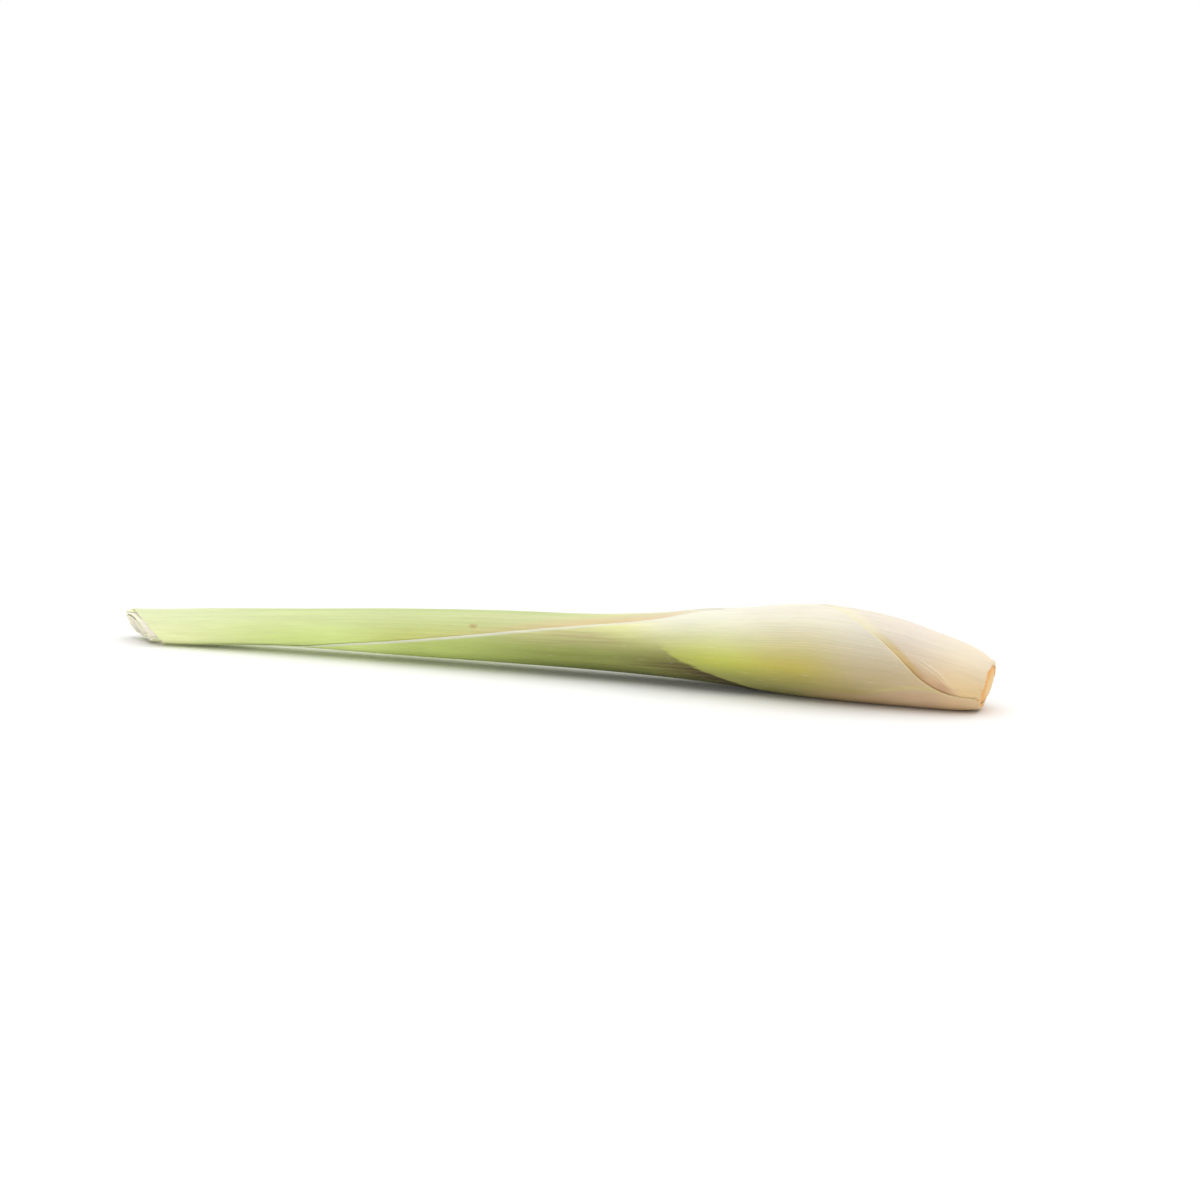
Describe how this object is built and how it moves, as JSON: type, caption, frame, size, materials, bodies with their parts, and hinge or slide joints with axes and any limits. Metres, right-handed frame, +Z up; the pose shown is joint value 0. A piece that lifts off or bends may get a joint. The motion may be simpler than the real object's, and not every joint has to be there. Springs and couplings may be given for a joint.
{
  "type": "lemongrass stalk",
  "caption": "A cut lemongrass stalk lying on its side: a pale swollen bulb with a trimmed base, wrapped in overlapping leaf sheaths that turn green towards a slanted cut.",
  "frame": {"origin": "on the surface that the stalk lies on, under the middle of its bounding box", "axes": "+X along the stalk towards the base cut, +Y to the back, +Z up"},
  "size_m": [0.2768, 0.0259, 0.0252],
  "materials": {
    "stem_pith": "matt, fibrous cut face",
    "outer_sheath": "satin, waxy, finely ribbed, cream at the bulb to green at the leaf end",
    "second_sheath": "satin, waxy, finely ribbed, pinkish cream at the bulb to pale green at the leaf end",
    "inner_sheath": "satin, moist, pale green",
    "heart_leaf": "satin, moist, pale yellow"
  },
  "bodies": {
    "root": {"stem_core": "stem_pith", "sheath_1": "outer_sheath", "sheath_2": "second_sheath", "sheath_3": "inner_sheath", "sheath_4": "inner_sheath", "heart_leaf": "heart_leaf"}
  },
  "joints": []
}
